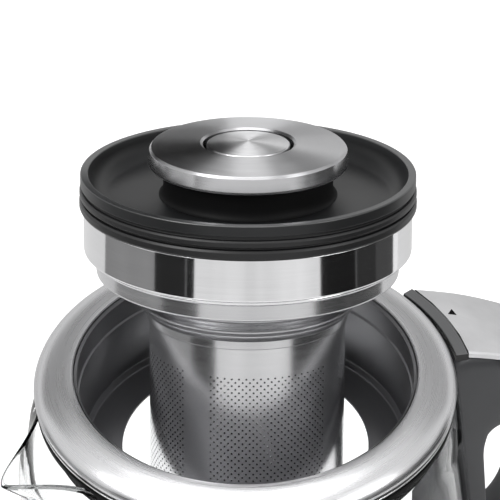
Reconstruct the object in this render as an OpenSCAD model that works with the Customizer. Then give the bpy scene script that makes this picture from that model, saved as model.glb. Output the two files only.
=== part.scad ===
// Automatic tea maker: cordless glass jug on a powered base, with a perforated
// leaf basket under a knobbed lid, shown as it is lifted out, leaning back.
// Units mm. Origin: centre of the flat foot ring on the table, +Z up,
// handle along +X, spout along -X, control panel along -Y.

/* [Power base] */
// Radius of the round part of the power base
base_r = 96; // [90:1:110]
// Height of the flat top that the jug stands on
base_h = 30; // [26:1:40]
// Height of the joint between the two halves of the base
base_split = 13; // [12:0.5:16]
// Wall of the moulded base halves
base_wall = 2.4; // [1.8:0.1:3.2]
// Width of the sloping control console
console_w = 112; // [100:1:124]
// How far the console reaches in front of the centre
console_y = 132; // [128:1:145]
// Height of the console's front edge
console_front_h = 17; // [16:0.5:22]
// Outer radius of the rubber foot ring
foot_r = 80; // [70:1:84]
// Width of the rubber foot ring
foot_w = 9; // [6:0.5:12]
// Height of the rubber foot ring
foot_h = 2.5; // [2:0.1:4]
// Radius of the power plug boss in the middle
plug_r = 21; // [18:0.5:24]
// Height of the power plug boss above the flat top
plug_h = 9; // [7:0.5:10]

/* [Control panel] */
// Thickness of the control fascia
fascia_t = 1.5; // [1.2:0.1:2]
// Length of the fascia up the slope
fascia_l = 30; // [28:1:33]
// Width of the fascia
fascia_w = 100; // [94:1:104]
// Radius of a push button
key_r = 5.4; // [4.5:0.1:6]
// Travel of a push button
key_travel = 1.2; // [0.8:0.1:1.4]
// Pitch of the four small push buttons
key_pitch = 15; // [14:0.5:16]

/* [Jug] */
// Height of the collar's top edge above the table
rim_z = 200; // [196:1:230]
// Thickness of the glass wall
glass_t = 3; // [2.4:0.1:4]
// Depth of the gasket's skirt inside the glass neck
skirt_d = 8.6; // [4:0.1:12]
// Outer radius of the glass just under the collar
neck_r = 76.4; // [74:0.5:77]
// Outer radius of the glass at its widest
belly_r = 90; // [86:0.5:92]
// Height of the glass bottom edge
glass_z = 54; // [50:0.5:60]
// Distance of the spout tip from the axis
spout_r = 99; // [92:1:106]
// Width of the spout at its root
spout_w = 42; // [36:1:50]
// Outer radius of the jug's steel foot band
band_r = 91; // [90:0.5:94]

/* [Collar] */
// Largest radius of the steel collar
collar_r = 78; // [77.5:0.1:80]
// Radius of the opening in the collar
mouth_r = 63.2; // [63:0.1:64]
// Depth of the collar's widest ring below its top edge
collar_drop = 6.6; // [6:0.1:9]
// Inner radius of the liner's upper wall
liner_r = 62; // [61.9:0.1:62.2]
// Depth of the small ledge in the liner
ledge_d = 10.6; // [8:0.1:12]
// Depth of the liner floor
floor_d = 36; // [32:0.5:38]
// Inner radius at the bottom of the liner wall
liner_low_r = 60.3; // [60:0.1:60.8]
// Radius of the hole in the liner floor
hole_r = 45.9; // [45.5:0.1:47]
// Thickness of the liner sheet
liner_t = 0.8; // [0.6:0.1:1]

/* [Handle] */
// Width of the handle at the top
handle_w = 42.6; // [38:0.1:50]
// Width of the handle at the grip
grip_w = 34; // [28:1:40]
// Outermost reach of the grip from the axis
grip_r = 144; // [134:1:150]
// Thickness of the top plate
plate_t = 2.2; // [1.6:0.1:3]
// Inner radius of the curved strip beside the collar
strip_r = 80; // [79.5:0.1:81]
// Radial width of the curved strip
strip_w = 5; // [4:0.2:6]

/* [Basket] */
// Height of the sieve's top above the collar's top edge, as it is lifted
held_up = 11.8; // [11:0.1:40]
// Distance of the sieve's top behind the jug's axis, as it is lifted
held_back = 17.3; // [8:0.1:18]
// Angle that the basket leans back as it is lifted
held_lean = 18.3; // [0:0.1:22]
// Direction it leans to, turned from +Y towards +X
held_dir = 27.4; // [0:0.1:90]
// Distance it is held to the right of that direction
held_side = 0.5; // [-2:0.1:2]
// Outer radius of the tall upper ring
ring_a_r = 60.1; // [58:0.1:60.4]
// Outer radius of the lower ring
ring_b_r = 55.6; // [52:0.1:56.6]
// Height of the basket's steel rings above the sieve
shell_h = 42.5; // [40:0.1:44]
// Sheet thickness of the basket rings
shell_t = 1.2; // [0.8:0.1:1.6]
// Outer radius of the sieve
sieve_r = 36.2; // [32:0.1:38]
// Length of the sieve
sieve_l = 78; // [60:1:84]
// Sheet thickness of the sieve
sieve_t = 0.8; // [0.6:0.1:1.2]
// Distance from the neck to the first row of holes
plain_l = 12; // [8:0.5:16]
// Radius of the holes drilled in this model
drill_r = 1.1; // [0.8:0.1:1.4]
// Rows of holes
drill_rows = 5; // [3:1:8]
// Holes side by side in each of the four panels
drill_cols = 5; // [3:1:7]

/* [Lid] */
// Radius of the lid rim
lid_r = 61.2; // [60.5:0.1:61.4]
// Radius of the seal ribs
seal_r = 61.6; // [61.2:0.1:61.7]
// Depth of the dish below the rim
dish_d = 8.5; // [7:0.1:9]
// Radius of the knob disc
disc_r = 36.5; // [32:0.1:40]
// Thickness of the knob disc's edge
disc_t = 6.7; // [5:0.1:8]
// Height of the disc's top edge above the lid rim
disc_up = 9.6; // [9:0.1:14]
// Radius of the knob neck
neck_knob_r = 31; // [26:0.5:33]
// Radius of the recess in the disc
recess_r = 16.6; // [15.8:0.1:18]
// Radius of the lid button
button_r = 15.2; // [14:0.1:15.4]
// Travel of the lid button
button_travel = 2.5; // [2:0.1:3]

/* [Hidden] */
$fn = 96;
sl = 0.3;                                   // seat gap between loose pieces
slope_l0 = 90;                              // where the console slope starts
slope_a = atan((base_h - console_front_h) / (console_y - slope_l0));
slope_mid_y = -(console_y + slope_l0) / 2;
slope_mid_z = (base_h + console_front_h) / 2;
key_x = [for (i = [0:3]) -41 + i * key_pitch];
start_x = 37;
start_r = key_r + 2;
jug_z = base_h + sl;
collar_b = rim_z - collar_drop - 2;         // lower edge of the collar
carrier_b = rim_z - 12;                     // lower face of the carrier
gasket_b = carrier_b - 2.4;                 // lower face of the gasket
skirt_r = neck_r - glass_t - 0.4;           // gasket skirt, clear of the glass
// the basket and lid are drawn upright from the sieve's top, then leaned
lz = shell_h;                               // top edge of the basket
lid_z = lz + 13.1;                          // top of the lid rim
top_z = lid_z + disc_up;                    // top edge of the knob disc
tip = [-spout_r, rim_z - 17];

function bez(a, b, c, n = 10) =
    [for (i = [0:n]) let (t = i / n)
        (1 - t) * (1 - t) * a + 2 * t * (1 - t) * b + t * t * c];
function rev(v) = [for (i = [len(v) - 1:-1:0]) v[i]];
function shift(v, d) = [for (p = v) p + d];
function tail(v) = [for (i = [1:len(v) - 1]) v[i]];

// outer outline of the glass, from the top edge down
glass_top = gasket_b;
glass_o = concat(
    bez([neck_r, glass_top], [neck_r + 2.6, glass_top - 4], [neck_r + 3.8, glass_top - 10], 6),
    tail(bez([neck_r + 3.8, glass_top - 10], [neck_r + 9, glass_top - 48],
        [belly_r - 0.6, glass_top - 90], 8)),
    tail(bez([belly_r - 0.6, glass_top - 90], [belly_r + 0.7, glass_z + 14],
        [belly_r - 2.4, glass_z], 6)));

// top line of the handle as radius and height, from the strip out to the grip
hand_x = strip_r + strip_w + 0.15;
hand_z = rim_z - 6.95;
strip_b = hand_z - 3;
hand_top = concat(
    bez([hand_x, hand_z], [hand_x + 18, hand_z - 7.7], [grip_r - 22, hand_z - 19.1], 7),
    tail(bez([grip_r - 22, hand_z - 19.1], [grip_r - 7, hand_z - 28.2],
        [grip_r, rim_z - 66], 9)));
hand_low = rim_z - 141;
function inset(v, d) =
    [for (i = [0:len(v) - 1])
        let (way = v[min(i + 1, len(v) - 1)] - v[max(i - 1, 0)])
            v[i] + d * [way[1], -way[0]] / norm(way)];

// ---------------------------------------------------------------- helpers
module lathe(pts, n = 128) {
    rotate_extrude($fn = n)
        polygon(pts);
}

module ring(ro, ri, z0, z1, n = 128) {
    translate([0, 0, z0])
        difference() {
            cylinder(r = ro, h = z1 - z0, $fn = n);
            translate([0, 0, -1])
                cylinder(r = ri, h = z1 - z0 + 2, $fn = n);
        }
}

// where the basket, the lid and its button are held
module held() {
    translate([0, 0, rim_z + held_up])
        rotate([0, 0, -held_dir])
            translate([held_side, held_back, 0])
                rotate([-held_lean, 0, 0])
                    children();
}

// side view drawn in x and z, given a width along y
module side(w, pts) {
    translate([0, w / 2, 0])
        rotate([90, 0, 0])
            linear_extrude(height = w)
                polygon(pts);
}

// plan of the base, every edge moved in by d
module plan(d) {
    r = 16;
    circle(r = base_r - d, $fn = 128);
    translate([-console_w / 2 + d, -console_y + r])
        square([console_w - 2 * d, console_y - r - 40]);
    translate([-console_w / 2 + r, -console_y + d])
        square([console_w - 2 * r, 60]);
    for (s = [-1, 1])
        translate([s * (console_w / 2 - r), -console_y + r])
            circle(r = r - d, $fn = 48);
}

// everything above the console slope, lowered by d along its normal
module above_slope(d) {
    translate([0, -slope_l0, base_h])
        rotate([slope_a, 0, 0])
            translate([-100, -80, -d])
                cube([200, 80, 60]);
}

module on_slope() {
    translate([0, slope_mid_y, slope_mid_z])
        rotate([slope_a, 0, 0])
            children();
}

module base_posts(r, z0, z1) {
    for (a = [45:90:315])
        rotate([0, 0, a])
            translate([58, 0, z0])
                cylinder(r = r, h = z1 - z0, $fn = 32);
}

// ------------------------------------------------------------- power base
// one rubber piece: outer ring, three ribs and a middle disc
module foot_ring() {
    color([0.08, 0.08, 0.08]) {
        ring(foot_r, foot_r - foot_w, 0, foot_h);
        cylinder(r = foot_w + 3, h = foot_h, $fn = 96);
        for (a = [0:120:240])
            rotate([0, 0, a])
                translate([foot_w, -foot_w / 2, 0])
                    cube([foot_r - 1.5 * foot_w, foot_w, foot_h]);
    }
}

module base_bottom_cover() {
    color([0.12, 0.12, 0.13])
        difference() {
            translate([0, 0, foot_h])
                linear_extrude(height = base_split - foot_h)
                    plan(0);
            translate([0, 0, foot_h + base_wall])
                linear_extrude(height = base_split)
                    plan(base_wall);
            base_posts(1.9, 0, 20);
            base_posts(3.4, 0, foot_h + 1.2);
            translate([0, base_r - 10, foot_h + 5.4])
                rotate([-90, 0, 0])
                    cylinder(r = 4.3, h = 20, $fn = 48);
        }
}

module base_top_cover() {
    color([0.12, 0.12, 0.13])
        difference() {
            union() {
                difference() {
                    translate([0, 0, base_split])
                        linear_extrude(height = base_h - base_split)
                            plan(0);
                    difference() {
                        translate([0, 0, base_split - 1])
                            linear_extrude(height = base_h - base_split + 1 - base_wall)
                                plan(base_wall);
                        above_slope(3);
                    }
                    above_slope(0);
                }
                base_posts(4.5, foot_h + base_wall, base_h - 1);
                on_slope()
                    for (x = [-46, 46])
                        translate([x, 8.4, -7])
                            cylinder(r = 2.5, h = 5, $fn = 32);
            }
            base_posts(1.4, foot_h, 18);
            on_slope() {
                translate([-fascia_w / 2 - 0.1, -fascia_l / 2 - 0.1, -fascia_t])
                    cube([fascia_w + 0.2, fascia_l + 0.2, 20]);
                key_holes(key_r + 0.35);
                translate([start_x, 0, -8])
                    cylinder(r = start_r + 0.35, h = 20, $fn = 48);
            }
            translate([0, 0, base_h - 10])
                cylinder(r = plug_r + 0.2, h = 20, $fn = 96);
        }
}

module key_holes(r) {
    for (x = key_x)
        translate([x, -5, -8])
            cylinder(r = r, h = 20, $fn = 48);
}

module base_screws() {
    color([0.6, 0.6, 0.62]) {
        base_posts(1.35, foot_h + 1.1, 16);
        base_posts(3.1, foot_h + 0.2, foot_h + 1.15);
    }
}

module base_plug() {
    color([0.1, 0.1, 0.1])
        difference() {
            union() {
                translate([0, 0, base_h - base_wall - 2])
                    cylinder(r = plug_r + 5, h = 2, $fn = 96);
                translate([0, 0, base_h - base_wall - 0.1])
                    cylinder(r = plug_r, h = base_wall + plug_h + 0.1, $fn = 96);
            }
            ring(15, 12.6, base_h + 1, base_h + 20, 96);
            ring(8.6, 6.4, base_h + 1, base_h + 20, 96);
            translate([0, 0, base_h - 1])
                cylinder(r = 2.2, h = 30, $fn = 48);
        }
}

module gland_tube(r, h) {
    translate([0, base_r - 7, foot_h + 5.4])
        rotate([-90, 0, 0])
            cylinder(r = r, h = h, $fn = 48);
}

// rubber sleeve in the rear wall; its flange is cut flat above the floor
module cord_gland() {
    color([0.07, 0.07, 0.07])
        difference() {
            union() {
                gland_tube(4.2, 13);
                difference() {
                    gland_tube(5.2, 4.3);
                    translate([-10, base_r - 20, 0])
                        cube([20, 40, foot_h + base_wall + 0.1]);
                }
            }
            translate([0, -1, 0])
                gland_tube(2.6, 30);
        }
}

module control_fascia() {
    color([0.05, 0.05, 0.06])
        on_slope()
            difference() {
                translate([-fascia_w / 2, -fascia_l / 2, -fascia_t])
                    cube([fascia_w, fascia_l, fascia_t]);
                key_holes(key_r + 0.35);
                translate([start_x, 0, -8])
                    cylinder(r = start_r + 0.35, h = 20, $fn = 48);
                translate([-41.1, 3.9, -0.9])
                    cube([50.2, 8.2, 5]);
            }
}

module display_window() {
    color([0.2, 0.25, 0.3])
        on_slope()
            translate([-41, 4, -0.9])
                cube([50, 8, 0.9]);
}

module control_board() {
    color([0.1, 0.3, 0.2])
        on_slope() {
            translate([-50, -11, -8.6])
                cube([100, 22, 1.6]);
            for (x = key_x)
                translate([x, -5, -7.1])
                    cylinder(r = 1.6, h = 1.1, $fn = 32);
            translate([start_x, 0, -7.1])
                cylinder(r = 1.6, h = 1.1, $fn = 32);
        }
}

// one push button: cap through the fascia, flange behind the cover
module key(x, y, r) {
    on_slope()
        translate([x, y, 0])
            difference() {
                union() {
                    translate([0, 0, -4.4])
                        cylinder(r = r, h = 5.6, $fn = 48);
                    translate([0, 0, -4.6])
                        cylinder(r = r + 1.3, h = 1.2, $fn = 48);
                }
                translate([0, 0, 1.2 + r * 4])
                    sphere(r = r * 4.06, $fn = 96);
            }
}

module key_1() {
    color([0.75, 0.75, 0.76])
        key(key_x[0], -5, key_r);
}

module key_2() {
    color([0.75, 0.75, 0.76])
        key(key_x[1], -5, key_r);
}

module key_3() {
    color([0.75, 0.75, 0.76])
        key(key_x[2], -5, key_r);
}

module key_4() {
    color([0.75, 0.75, 0.76])
        key(key_x[3], -5, key_r);
}

module key_start() {
    color([0.75, 0.75, 0.76])
        key(start_x, 0, start_r);
}

// -------------------------------------------------------------------- jug
module jug_underside() {
    color([0.1, 0.1, 0.1])
        difference() {
            union() {
                ring(band_r - 4.2, plug_r + 4, jug_z, jug_z + 2.5);
                ring(band_r - 4.2, band_r - 6.6, jug_z, jug_z + 9);
                for (a = [30:120:270])
                    rotate([0, 0, a])
                        translate([60, 0, jug_z])
                            cylinder(r = 4, h = glass_z - 6 - jug_z, $fn = 32);
            }
            for (a = [30:120:270])
                rotate([0, 0, a])
                    translate([60, 0, jug_z - 1])
                        cylinder(r = 1.5, h = 12, $fn = 32);
        }
}

module jug_foot_band() {
    color([0.75, 0.75, 0.76])
        lathe([
            [band_r - 4, jug_z + 1], [band_r - 1.5, jug_z + 1], [band_r, jug_z + 3],
            [band_r, glass_z + 3], [band_r - 0.9, glass_z + 4], [band_r - 1.4, glass_z + 4],
            [band_r - 1.4, glass_z - 0.3], [band_r - 7, glass_z - 0.3],
            [band_r - 7, glass_z - 2.6], [band_r - 2.4, glass_z - 2.6],
            [band_r - 2.4, jug_z + 9.3], [band_r - 4, jug_z + 9.3]]);
}

module jug_socket() {
    color([0.08, 0.08, 0.08])
        difference() {
            union() {
                ring(plug_r + 3.8, plug_r + 0.5, jug_z, jug_z + 13);
                translate([0, 0, jug_z + 11])
                    cylinder(r = plug_r + 3.8, h = 2, $fn = 96);
                ring(14.4, 13.2, jug_z + 3, jug_z + 11.5, 96);
                ring(8, 7, jug_z + 3, jug_z + 11.5, 96);
                translate([0, 0, jug_z + 3])
                    cylinder(r = 1.6, h = 9, $fn = 32);
            }
            ring(plug_r + 5, plug_r + 3.3, jug_z + 3, jug_z + 9, 96);
        }
}

module heating_plate() {
    color([0.75, 0.75, 0.76])
        difference() {
            union() {
                translate([0, 0, glass_z - 5])
                    cylinder(r = band_r - 7.4, h = 2.2, $fn = 128);
                translate([0, 0, glass_z - 3])
                    cylinder(r = band_r - 7.4, h = 1.4, $fn = 128);
            }
            translate([0, 0, glass_z - 20])
                cylinder(r = 5.2, h = 40, $fn = 48);
        }
}

module heating_element() {
    color([0.5, 0.5, 0.52]) {
        translate([0, 0, glass_z - 8.3])
            rotate_extrude($fn = 96)
                translate([46, 0])
                    circle(r = 3.2, $fn = 32);
        translate([0, 0, jug_z + 13.1])
            cylinder(r = 11, h = glass_z - 10.4 - jug_z - 13.1, $fn = 48);
        for (a = [60, 240])
            rotate([0, 0, a])
                translate([9, -4, jug_z + 14])
                    cube([36, 8, 1.6]);
    }
}

module temperature_probe() {
    color([0.8, 0.8, 0.8]) {
        translate([0, 0, glass_z - 10.2])
            cylinder(r = 5, h = 13, $fn = 48);
        translate([0, 0, glass_z + 2.8])
            sphere(r = 5, $fn = 48);
    }
}

// wedge that makes the spout; d moves every face of it inwards
module spout_form(d) {
    intersection() {
        translate([0, 0, 100])
            linear_extrude(height = 120)
                polygon(concat(
                    [[-60, spout_w / 2 + 8 - d], [-60, -spout_w / 2 - 8 + d]],
                    bez([-collar_r + 3, -spout_w / 2 + d], [-collar_r - 7, -8.5 + 0.8 * d],
                        [-spout_r + 0.3 + d * 1.3, -0.8], 8),
                    rev(bez([-collar_r + 3, spout_w / 2 - d], [-collar_r - 7, 8.5 - 0.8 * d],
                        [-spout_r + 0.3 + d * 1.3, 0.8], 8))));
        side(120, [
            [-60, glass_top - 0.01 + d * 2], [-collar_r - 2, glass_top - 0.01 + d * 2],
            [-spout_r, tip[1] + d * 2],
            [-spout_r, tip[1] - 3 + d], [-collar_r - 4 + d, glass_top - 26 + d],
            [-60, glass_top - 32]]);
    }
}

module glass_jug() {
    color([0.85, 0.9, 0.92, 0.4])
        difference() {
            union() {
                lathe(concat([[belly_r - 12, glass_z]],
                    [[belly_r - 12, glass_z + glass_t]],
                    [[belly_r - 10, glass_z + glass_t]],
                    rev(shift(glass_o, [-glass_t, 0])), glass_o), 160);
                difference() {
                    spout_form(0);
                    translate([0, 0, 90])
                        cylinder(r = neck_r, h = 140, $fn = 128);
                }
            }
            difference() {
                spout_form(glass_t - 0.4);
                translate([-63, -80, 90])
                    cube([200, 160, 200]);
                translate([-74, -80, glass_top - 3])
                    cube([100, 160, 20]);
            }
        }
}

module neck_gasket() {
    color([0.04, 0.04, 0.04])
        lathe([
            [skirt_r - 2.6, gasket_b - skirt_d], [skirt_r, gasket_b - skirt_d],
            [skirt_r, gasket_b], [neck_r + 0.6, gasket_b], [neck_r + 1, gasket_b + 0.5],
            [neck_r + 1, carrier_b - 0.4], [neck_r + 0.6, carrier_b], [skirt_r - 2.6, carrier_b]]);
}

module collar_carrier() {
    color([0.06, 0.06, 0.06])
        lathe([
            [mouth_r + 1.6, carrier_b], [neck_r + 0.2, carrier_b], [neck_r + 0.2, collar_b - 1],
            [neck_r + 0.9, collar_b - 1], [neck_r + 0.9, collar_b - 0.2],
            [collar_r - 3.5, collar_b - 0.2], [collar_r - 3.5, rim_z - 6.6],
            [collar_r - 7, rim_z - 4.6], [mouth_r + 3.2, rim_z - 3],
            [mouth_r + 1.6, rim_z - 4]]);
}

module carrier_trim() {
    color([0.8, 0.8, 0.8])
        ring(neck_r + 1.1, neck_r + 0.25, collar_b - 1.6, collar_b - 1.1);
}

// crown of the collar, outside and inside lines
crown_o = concat(
    bez([mouth_r, rim_z - 1.9], [mouth_r + 0.15, rim_z - 0.55], [mouth_r + 2.4, rim_z], 6),
    tail(bez([mouth_r + 2.4, rim_z], [collar_r - 1.2, rim_z - 0.4],
        [collar_r, rim_z - collar_drop], 10)));
crown_i = bez([mouth_r + 1.7, rim_z - 1.6], [collar_r - 2.6, rim_z - 1.8],
    [collar_r - 1.5, rim_z - collar_drop], 10);

module jug_collar() {
    color([0.8, 0.8, 0.8])
        lathe(concat([[mouth_r, rim_z - 3]], crown_o,
            [[collar_r - 0.2, collar_b + 0.5], [collar_r - 0.8, collar_b]],
            [[collar_r - 1.6, collar_b]], rev(crown_i),
            [[mouth_r + 1.2, rim_z - 3]]), 160);
}

module collar_liner() {
    color([0.7, 0.7, 0.7])
        lathe([
            [liner_r, rim_z - 1.6], [liner_r, rim_z - ledge_d],
            [liner_r - 0.7, rim_z - ledge_d - 0.5], [liner_low_r, rim_z - floor_d + 2],
            [liner_low_r - 1.6, rim_z - floor_d], [hole_r, rim_z - floor_d],
            [hole_r, rim_z - floor_d - liner_t],
            [liner_low_r - 1, rim_z - floor_d - liner_t],
            [liner_low_r + liner_t, rim_z - floor_d + 1.5],
            [liner_r + liner_t - 0.5, rim_z - ledge_d - 1],
            [liner_r + liner_t, rim_z - ledge_d],
            [liner_r + liner_t, rim_z - 3.7], [mouth_r + 1.2, rim_z - 3.7],
            [mouth_r + 1.2, rim_z - 3.05], [liner_r + liner_t, rim_z - 3.05],
            [liner_r + liner_t, rim_z - 1.6]], 160);
}

// ----------------------------------------------------------------- handle
// outline seen from above, narrowing towards the grip
module handle_plan(d) {
    translate([0, 0, 20])
        linear_extrude(height = 240)
            polygon(concat(
                [[60, -handle_w / 2 + d]],
                bez([100, -handle_w / 2 + d], [grip_r - 20, -grip_w / 2 + d],
                    [grip_r + 4, -grip_w / 2 + 2 + d], 8),
                rev(bez([100, handle_w / 2 - d], [grip_r - 20, grip_w / 2 - d],
                    [grip_r + 4, grip_w / 2 - 2 - d], 8)),
                [[60, handle_w / 2 - d]]));
}

// what the glass and the collar take out of the handle
module jug_void() {
    lathe(concat([[0, 40]], rev(shift(glass_o, [0.3, 0])),
        [[collar_r + 0.3, gasket_b], [collar_r + 0.3, rim_z + 5], [0, rim_z + 5]]), 160);
}

// finger opening, drawn in x and z
opening = concat(
    bez([strip_r + 12.6, rim_z - 66], [strip_r + 11, rim_z - 52], [strip_r + 20.5, rim_z - 51], 6),
    bez([grip_r - 36, rim_z - 51.2], [grip_r - 23, rim_z - 54], [grip_r - 22, rim_z - 74], 6),
    bez([grip_r - 20, rim_z - 100], [grip_r - 21, rim_z - 118], [grip_r - 34, rim_z - 124], 6),
    [[strip_r + 20, rim_z - 124], [strip_r + 15.5, rim_z - 100]]);

module handle_shell() {
    color([0.2, 0.2, 0.21])
        difference() {
            intersection() {
                lathe(concat(
                    [[70, strip_b - 0.05], [hand_x, strip_b - 0.05]],
                    [[hand_x, hand_z - plate_t * 1.1 - 0.02]],
                    tail(inset(hand_top, plate_t + 0.02)),
                    bez([grip_r, rim_z - 67], [grip_r + 3, rim_z - 116],
                        [grip_r - 22, rim_z - 138], 10),
                    [[grip_r - 30, hand_low - 1], [88, hand_low], [70, hand_low + 2]]), 160);
                handle_plan(0);
            }
            jug_void();
            side(80, opening);
            side(handle_w - 14, [
                [strip_r + 8, rim_z - 18], [strip_r + 26, rim_z - 27],
                [strip_r + 26, rim_z - 40], [strip_r + 8, rim_z - 40]]);
            translate([60, 0, rim_z - 34])
                rotate([0, 90, 0])
                    cylinder(r = 2.2, h = strip_r + 8.1 - 60, $fn = 32);
        }
}

// bracket inside the arm that screws to the carrier side of the handle
module handle_inner() {
    color([0.5, 0.5, 0.5])
        side(handle_w - 14.4, [
            [strip_r + 8.2, rim_z - 26], [strip_r + 25.8, rim_z - 32],
            [strip_r + 25.8, rim_z - 39.8], [strip_r + 8.2, rim_z - 39.8]]);
}

module handle_strip() {
    color([0.05, 0.05, 0.05])
        intersection() {
            ring(strip_r + strip_w, strip_r, strip_b, hand_z + 0.05, 160);
            side(handle_w, [
                [60, rim_z - 20], [100, rim_z - 20], [100, rim_z + 5], [60, rim_z + 5]]);
        }
}

module handle_plate() {
    color([0.78, 0.78, 0.78])
        difference() {
            intersection() {
                lathe(concat([[hand_x, hand_z - plate_t * 1.1]], hand_top,
                    rev(tail(inset(hand_top, plate_t)))), 160);
                handle_plan(0);
            }
            mark_form(0.1);
        }
}

// small arrow let into the plate
module mark_form(d) {
    translate([strip_r + 9.6, 4.5, hand_z - 8])
        linear_extrude(height = 10)
            polygon([for (p = [[1.25, 2.6], [-2.4, -1.2], [1.15, -1.4]]) p * (1 + d)]);
}

module handle_mark() {
    color([0.05, 0.05, 0.05])
        intersection() {
            mark_form(0);
            lathe(concat(shift(hand_top, [0, 0.06]),
                rev(shift(hand_top, [0, -plate_t]))), 160);
        }
}

module handle_screws() {
    color([0.6, 0.6, 0.62])
        translate([strip_r + 2.4, 0, rim_z - 34])
            rotate([0, 90, 0])
                cylinder(r = 2.1, h = 5.6, $fn = 32);
}

// ----------------------------------------------------------------- basket
module basket_rings() {
    a0 = shell_h - 16;
    b1 = a0 - 2.4;
    low = bez([hole_r - 1.2, 15.2], [sieve_r + 4.4, 7.5], [sieve_r + 1.7, 4], 8);
    color([0.85, 0.85, 0.85])
        held()
            lathe(concat(
                [[ring_a_r - 0.4, shell_h], [ring_a_r, shell_h - 0.5]],
                [[ring_a_r, a0 + 0.6], [ring_a_r - 0.5, a0]],
                bez([ring_b_r + 1.4, a0], [ring_b_r + 3.2, a0 - 1.2], [ring_b_r + 1, b1], 6),
                [[ring_b_r, b1], [ring_b_r, 18.3], [ring_b_r - 0.6, 17.7]],
                [[hole_r - 0.9, 17.7]], low,
                [[sieve_r + 0.8, 3.2], [sieve_r + 0.8, 0], [sieve_r - sieve_t, 0]],
                [[sieve_r - sieve_t, 3.6]],
                rev(shift(low, [-shell_t * 0.9, shell_t * 0.9])),
                [[hole_r - 3.2, 17.7 + shell_t], [ring_b_r - shell_t, 17.7 + shell_t]],
                [[ring_b_r - shell_t, a0 + shell_t], [ring_a_r - shell_t, a0 + shell_t]],
                [[ring_a_r - shell_t, shell_h]]), 160);
}

module basket_sieve() {
    pitch = (sieve_l - plain_l - 8) / (drill_rows - 1);
    color([0.8, 0.8, 0.8])
        held()
            translate([0, 0, -sieve_l])
                difference() {
                    lathe([
                        [0, 0], [sieve_r - 3, 0], [sieve_r - 0.9, 0.9], [sieve_r, 3],
                        [sieve_r, sieve_l], [sieve_r - sieve_t, sieve_l],
                        [sieve_r - sieve_t, 3.2], [sieve_r - 1.5, 1.5],
                        [sieve_r - 3.2, sieve_t], [0, sieve_t]], 128);
                    for (p = [0:3])
                        for (i = [0:drill_cols - 1])
                            for (j = [0:drill_rows - 1])
                                rotate([0, 0, 90 * p - 105 + i * 60 / (drill_cols - 1)])
                                    translate([sieve_r - 3, 0, 7 + j * pitch])
                                        rotate([0, 90, 0])
                                            cylinder(r = drill_r, h = 6, $fn = 16);
                    for (a = [0:45:315])
                        rotate([0, 0, a])
                            translate([20, 0, -1])
                                cylinder(r = drill_r, h = 4, $fn = 16);
                }
}

// -------------------------------------------------------------------- lid
module lid_seal() {
    color([0.04, 0.04, 0.04])
        held()
            translate([0, 0, lz + sl])
                lathe([
                    [lid_r - 2.6, 0], [seal_r - 0.5, 0], [seal_r, 0.8], [seal_r, 2.8],
                    [seal_r - 0.5, 3.6], [seal_r - 1.6, 3.8], [seal_r - 1.6, 4.4],
                    [seal_r - 0.6, 4.5], [seal_r - 0.1, 5.1], [seal_r - 0.1, 6.6],
                    [seal_r - 0.6, 7.2], [seal_r - 1.6, 7.4], [seal_r - 1.6, 8.5],
                    [lid_r - 2.6, 8.5]], 160);
}

module lid_dish() {
    color([0.07, 0.07, 0.07])
        held()
            difference() {
                translate([0, 0, lid_z])
                    lathe(concat(
                        [[0, -dish_d - 2], [lid_r - 2.7, -dish_d - 2], [lid_r - 2.7, -4.2]],
                        [[lid_r - 0.3, -4.2], [lid_r, -3.8]],
                        bez([lid_r, -1.4], [lid_r, 0], [lid_r - 1.6, 0], 5),
                        bez([lid_r - 1.8, 0], [lid_r - 2.8, 0], [lid_r - 3, -1.4], 4),
                        tail(bez([lid_r - 3, -1.4], [lid_r - 4.2, -dish_d + 0.3],
                            [lid_r - 9.7, -dish_d], 8)),
                        [[0, -dish_d]]), 160);
                for (a = [90:120:330])
                    rotate([0, 0, a])
                        translate([23, 0, lid_z - dish_d - 5])
                            cylinder(r = 1.8, h = 10, $fn = 32);
                translate([0, 0, lid_z - dish_d - 5])
                    cylinder(r = 3.6, h = 10, $fn = 32);
            }
}

module knob_neck() {
    zb = lid_z - dish_d;
    zt = top_z - disc_t;
    color([0.05, 0.05, 0.05])
        held()
            difference() {
                lathe(concat(
                    [[0, zb], [neck_knob_r + 1.6, zb]],
                    bez([neck_knob_r + 1.6, zb + 0.4], [neck_knob_r, zb + 0.8],
                        [neck_knob_r, zb + 4], 6),
                    [[neck_knob_r, zt], [0, zt]]), 128);
                difference() {
                    translate([0, 0, zb - 1])
                        cylinder(r = neck_knob_r - 2.5, h = zt - zb - 1.6, $fn = 96);
                    translate([0, 0, zb - 2])
                        cylinder(r = 7, h = 40, $fn = 48);
                    for (a = [90:120:330])
                        rotate([0, 0, a])
                            translate([23, 0, zb - 2])
                                cylinder(r = 4, h = 40, $fn = 32);
                }
                translate([0, 0, zb - 2])
                    cylinder(r = 3.3, h = 40, $fn = 48);
                for (a = [90:120:330])
                    rotate([0, 0, a])
                        translate([23, 0, zb - 2])
                            cylinder(r = 1.4, h = 11, $fn = 32);
            }
}

module knob_disc() {
    zt = top_z;
    color([0.8, 0.8, 0.8])
        held()
            lathe([
                [recess_r, zt - disc_t], [disc_r - 1, zt - disc_t], [disc_r, zt - disc_t + 0.8],
                [disc_r - 0.5, zt - 1], [disc_r - 1.2, zt], [recess_r + 1, zt + 1.6],
                [recess_r, zt + 1]], 160);
}

module knob_screws() {
    zb = lid_z - dish_d;
    color([0.6, 0.6, 0.62])
        held()
            for (a = [90:120:330])
                rotate([0, 0, a])
                    translate([23, 0, zb - 4]) {
                        cylinder(r = 3.2, h = 1.8, $fn = 32);
                        cylinder(r = 1.35, h = 10, $fn = 32);
                    }
}

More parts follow.
